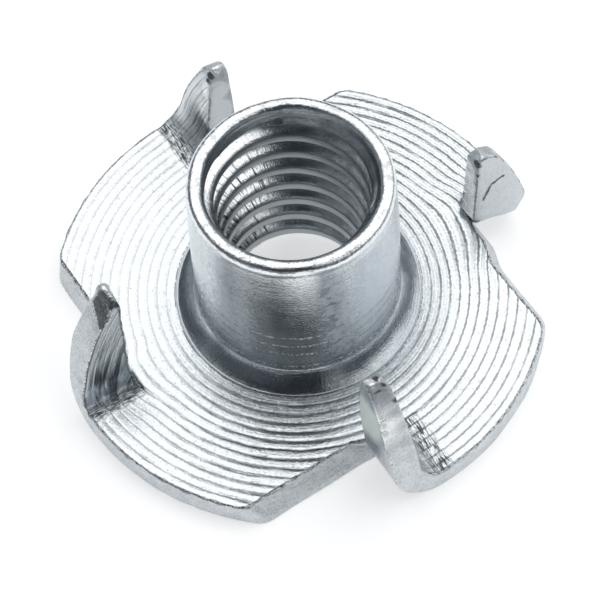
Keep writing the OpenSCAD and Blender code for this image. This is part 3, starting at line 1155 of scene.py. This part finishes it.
def rolled_material(zinc, grain, crack):
    """Rolled face of the sheet: underside and the prongs' outer faces."""
    b = Metal("rolled_zinc", grain, 10.0, 1.2, 0.3)
    fine, cloud, _ = b.grain
    dark, bright, worn = b.facts("dark", "bright", "worn")
    brush = b.stretched(b.place, (7.0, 7.0, 0.7), 3.0, 0.6)
    along, across = (Vector(way) for way in prong_way(CRACK_PRONG))
    knots = [along * v + across * w + Vector((0.0, 0.0, z)) for v, w, z in CRACK]
    bend = b.wire(b.put("ShaderNodeTexNoise", {"Vector": b.place, "Scale": 13.0}), "Color")
    bend = b.vector("SUBTRACT", bend, (0.5, 0.5, 0.5))
    bent = b.vector("ADD", b.place, b.resized(bend, 0.20))
    split = 0.0
    for start, end in zip(knots, knots[1:]):
        split = b.most(split, b.group(crack, bent, start, end, CRACK_WIDTH)[0])
    split = b.step(split, 0.1, 0.7)
    colour = b.coated(
        b.mix(b.step(cloud, 0.35, 0.65), ROLLED_DULL, ROLLED_CLEAN),
        (b.step(fine, 0.52, 0.68, 0.0, 0.35), zinc.steel),
        # Painted sheen on the bright marks.
        (b.step(bright, 0.25, 0.55), ROLLED_SHEEN),
        (b.math("MULTIPLY", worn, b.step(brush, 0.35, 0.6, 0.6, 1.5), clamp=True), zinc.steel),
        (split * 0.9, zinc.dark),
        (b.step(dark + fine * 0.7, 0.5, 0.7) * 0.85, zinc.dark),
    )
    height = fine * 0.8 + brush * 0.3 - split * 2.0
    rough = b.step(cloud, 0.3, 0.7, 0.27, 0.34) + b.step(bright, 0.25, 0.55, 0.0, 0.2)
    return b.finish(colour, rough, height, FINE_BUMPS)
# ---- Stage ----

CAMERA_RISE = 60.02
CAMERA_ROLL = 4.289
CAMERA_PLACE = (0.000015, -0.039783, 0.068938)
SENSOR_WIDTH = 36.0
CAMERA_REACH = (0.005, 5.0)
FLOOR_SIZE = 1.5
FLOOR_CELLS = 24
FLOOR_GAP = 0.00001

# Soft panels overhead, as slopes from the zenith: left, right, near, far, soft edge, strength.
PANELS = (
    (-0.85, 1.00, -0.08, 1.45, 0.12, 1.27),
    (0.42, 2.20, -0.62, 1.70, 0.10, 1.18),
    (-0.80, -0.20, 0.50, 1.25, 0.15, 1.80),
)
# Heights of the way out, as the sine of its rise: where the slopes stop
# growing, where the panels fade in, and where the bright horizon fades out.
LOWEST_SLOPE = 0.05
PANEL_FADE = (0.08, 0.2)
HORIZON_FADE = (0.03, 0.10)
HORIZON_GLOW = 0.70
# The room is dimmer in the middle than at the sides: slopes and strengths.
ROOM_SLOPES = (0.2, 1.1)
ROOM_GLOW = (0.045, 0.15)
WHITE = (1.0, 1.0, 1.0, 1.0)


def remove_old(name):
    """Take away what an earlier press of a button left."""
    old = bpy.data.objects.get(name)
    if old is not None:
        bpy.data.objects.remove(old)


def add_camera(scene, lens):
    remove_old("view_camera")
    data = bpy.data.cameras.new("view_camera")
    data.lens, data.sensor_width = lens, SENSOR_WIDTH
    data.clip_start, data.clip_end = CAMERA_REACH
    camera = bpy.data.objects.new("view_camera", data)
    scene.collection.objects.link(camera)
    rise, roll = math.radians(CAMERA_RISE), math.radians(CAMERA_ROLL)
    back = Vector((0.0, -math.cos(rise), math.sin(rise)))
    level, lift = Vector((1.0, 0.0, 0.0)), Vector((0.0, math.sin(rise), math.cos(rise)))
    right = level * math.cos(roll) - lift * math.sin(roll)
    up = level * math.sin(roll) + lift * math.cos(roll)
    turn = Matrix((right, up, back)).transposed()
    camera.matrix_world = Matrix.Translation(CAMERA_PLACE) @ turn.to_4x4()
    scene.camera = camera


def add_floor(scene, stage):
    remove_old("studio_floor")
    mesh = bpy.data.meshes.new("studio_floor")
    bm = bmesh.new()
    bmesh.ops.create_grid(bm, x_segments=FLOOR_CELLS, y_segments=FLOOR_CELLS, size=FLOOR_SIZE)
    bm.to_mesh(mesh)
    bm.free()
    floor = bpy.data.objects.new("studio_floor", mesh)
    floor.location.z = -FLOOR_GAP
    scene.collection.objects.link(floor)
    material = bpy.data.materials.new("floor_white")
    material.use_nodes = True
    material.node_tree.nodes.clear()
    b = Board(material.node_tree)
    paper = b.put("ShaderNodeBsdfDiffuse", {"Color": (*stage.floor_colour, 1.0)})
    path = b.put("ShaderNodeLightPath")
    seen = b.most(b.wire(path, "Is Glossy Ray"), b.wire(path, "Is Transmission Ray"))
    strength = b.most(b.wire(path, "Is Camera Ray"), seen) * stage.floor_glow
    glow = b.put("ShaderNodeEmission", {"Color": WHITE, "Strength": strength})
    both = b.put("ShaderNodeAddShader", {0: b.wire(paper), 1: b.wire(glow)})
    b.put("ShaderNodeOutputMaterial", {0: b.wire(both)})
    mesh.materials.append(material)


def add_world(scene, stage):
    """Soft panels in a dim, slightly blue room."""
    world = bpy.data.worlds.new("studio_world")
    scene.world = world
    world.use_nodes = True
    world.node_tree.nodes.clear()
    b = Board(world.node_tree)
    x, y, z = b.split(b.wire(b.put("ShaderNodeTexCoord"), "Generated"))
    lift = b.most(z, LOWEST_SLOPE)
    u, v = x / lift, y / lift
    total = 0.0
    for left, right, near, far, soft, strength in PANELS:
        across = b.step(u, left - soft, left + soft) * b.step(u, right + soft, right - soft)
        along = b.step(v, near - soft, near + soft) * b.step(v, far + soft, far - soft)
        total = b.most(total, across * along * (strength * stage.panel_strength))
    total = total * b.step(z, *PANEL_FADE)
    room = b.step(z, *HORIZON_FADE, HORIZON_GLOW, 0.0) + b.step(abs(u), *ROOM_SLOPES, *ROOM_GLOW)
    seen = b.wire(b.put("ShaderNodeLightPath"), "Is Camera Ray")
    unseen = 1.0 - seen
    panels = b.put("ShaderNodeBackground", {"Color": WHITE, "Strength": total * unseen + seen})
    dim = b.put("ShaderNodeBackground", {"Color": (*stage.room_tint, 1.0), "Strength": room * unseen})
    both = b.put("ShaderNodeAddShader", {0: b.wire(panels), 1: b.wire(dim)})
    b.put("ShaderNodeOutputWorld", {0: b.wire(both)})


# ---- Settings, buttons and panel ----

def number(name, about, default, least, most, **kind):
    return FloatProperty(name=name, description=about, default=default, min=least, max=most, **kind)


def length(name, about, default, most):
    """Length given in millimetres and kept in metres."""
    return number(name, about, default * MM, 0.0, most * MM, unit="LENGTH", precision=6)


def tint(name, about, default):
    return FloatVectorProperty(
        name=name, description=about, default=default, size=3, min=0.0, max=1.0, subtype="COLOR"
    )


class TeeNutSizes(PropertyGroup):
    ring_count: IntProperty(
        name="Rings", description="Number of rings pressed into the flange", default=12, min=4, max=16
    )
    ring_depth: length("Ring depth", "Depth of each pressed ring", 0.042, 0.1)
    ring_width: length("Ring width", "Width of each pressed ring", 0.14, 0.2)
    thread_pitch: length("Thread pitch", "Climb of the thread in one turn", 0.99, 2.0)
    thread_depth: length("Thread depth", "Depth of the thread from crest to root", 0.46, 0.5)


class TeeNutLook(PropertyGroup):
    light: tint("Bright zinc", "Flange top, barrel and thread where the zinc is clean", (0.81, 0.85, 0.87))
    grey: tint("Grey zinc", "Duller patches of the zinc", (0.54, 0.58, 0.61))
    # Worn zinc also paints the shade round the barrel's foot, in the ring side lines, on the barrel's root
    # and in a patch down the barrel.
    steel: tint("Worn zinc", "Side lines, worn patches and fine scratches", (0.30, 0.335, 0.36))
    # Dark marks also paint the shade in the ring lines, in the creases and on the tip facets.
    dark: tint("Dark marks", "Ring lines, torn patches and the crack", (0.055, 0.06, 0.065))
    tan: tint("Dull spots", "Small brownish spots", (0.50, 0.46, 0.40))
    # Bright chips also paint the glints at the prong tips, the highlight along the lip and the brighter left
    # side of the bore.
    chip: tint("Bright chips", "Fresh nicks at the prong tips and the lip", (0.93, 0.94, 0.95))


class TeeNutStage(PropertyGroup):
    lens: number("Lens", "Focal length of the camera in millimetres", 122.95, 20.0, 300.0)
    panel_strength: number("Panels", "Strength of the soft panels overhead", 1.0, 0.0, 4.0)
    floor_colour: tint("Floor", "Colour of the floor", (0.9, 0.9, 0.9))
    floor_glow: number("Floor glow", "How far the floor is lifted to white", 0.5, 0.0, 2.0)
    room_tint: tint("Room tint", "Colour of the dim light round the panels", (0.78, 0.89, 1.0))


class TEENUT_OT_build_nut(Operator):
    """Build the tee nut as one closed mesh with its zinc finish"""

    bl_idname = "tee_nut.build_nut"
    bl_label = "Build Nut"
    bl_options = {"REGISTER", "UNDO"}

    def execute(self, context):
        sizes, zinc = context.scene.tee_nut_sizes, Palette(context.scene.tee_nut_look)
        remove_old("tee_nut_zinc")
        rings = PressedRings(sizes.ring_count, sizes.ring_depth / MM, sizes.ring_width / MM)
        thread = Thread(sizes.thread_pitch / MM, sizes.thread_depth / MM)
        mesh, open_edges = nut_mesh(rings, thread)
        if open_edges:
            raise RuntimeError("the nut's mesh isn't closed")
        grain = grain_group()
        mesh.materials.append(ringed_material(zinc, grain, ring_lines_group(rings.pitch)))
        for make in (sheared_material, drawn_material, tapped_material):
            mesh.materials.append(make(zinc, grain))
        mesh.materials.append(rolled_material(zinc, grain, crack_group()))
        nut = bpy.data.objects.new("tee_nut_zinc", mesh)
        context.scene.collection.objects.link(nut)
        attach(nut, "root")
        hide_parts("tee_nut")
        return {"FINISHED"}


class TEENUT_OT_build_stage(Operator):
    """Build the camera, the pale floor and the soft studio light"""

    bl_idname = "tee_nut.build_stage"
    bl_label = "Build Stage"
    bl_options = {"REGISTER", "UNDO"}

    def execute(self, context):
        scene, stage = context.scene, context.scene.tee_nut_stage
        scene.view_settings.view_transform = "Standard"
        add_camera(scene, stage.lens)
        add_floor(scene, stage)
        add_world(scene, stage)
        return {"FINISHED"}


class TEENUT_PT_panel(Panel):
    """Sizes, colours and stage of the tee nut"""

    bl_idname = "TEENUT_PT_panel"
    bl_label = "Tee Nut"
    bl_space_type = "VIEW_3D"
    bl_region_type = "UI"
    bl_category = "Tee Nut"

    def draw(self, context):
        for group, button in (
            (context.scene.tee_nut_sizes, None),
            (context.scene.tee_nut_look, TEENUT_OT_build_nut),
            (context.scene.tee_nut_stage, TEENUT_OT_build_stage),
        ):
            column = self.layout.column(align=True)
            for name in group.__annotations__:
                column.prop(group, name)
            if button is not None:
                self.layout.operator(button.bl_idname)


CLASSES = (TeeNutSizes, TeeNutLook, TeeNutStage, TEENUT_OT_build_nut, TEENUT_OT_build_stage, TEENUT_PT_panel)


def register():
    for cls in CLASSES:
        bpy.utils.register_class(cls)
    bpy.types.Scene.tee_nut_sizes = PointerProperty(type=TeeNutSizes)
    bpy.types.Scene.tee_nut_look = PointerProperty(type=TeeNutLook)
    bpy.types.Scene.tee_nut_stage = PointerProperty(type=TeeNutStage)


def unregister():
    del bpy.types.Scene.tee_nut_stage
    del bpy.types.Scene.tee_nut_look
    del bpy.types.Scene.tee_nut_sizes
    for cls in reversed(CLASSES):
        bpy.utils.unregister_class(cls)


def main():
    """Build everything with the settings as they stand."""
    register()
    bpy.ops.tee_nut.build_nut()
    bpy.ops.tee_nut.build_stage()


if __name__ == "__main__":
    main()
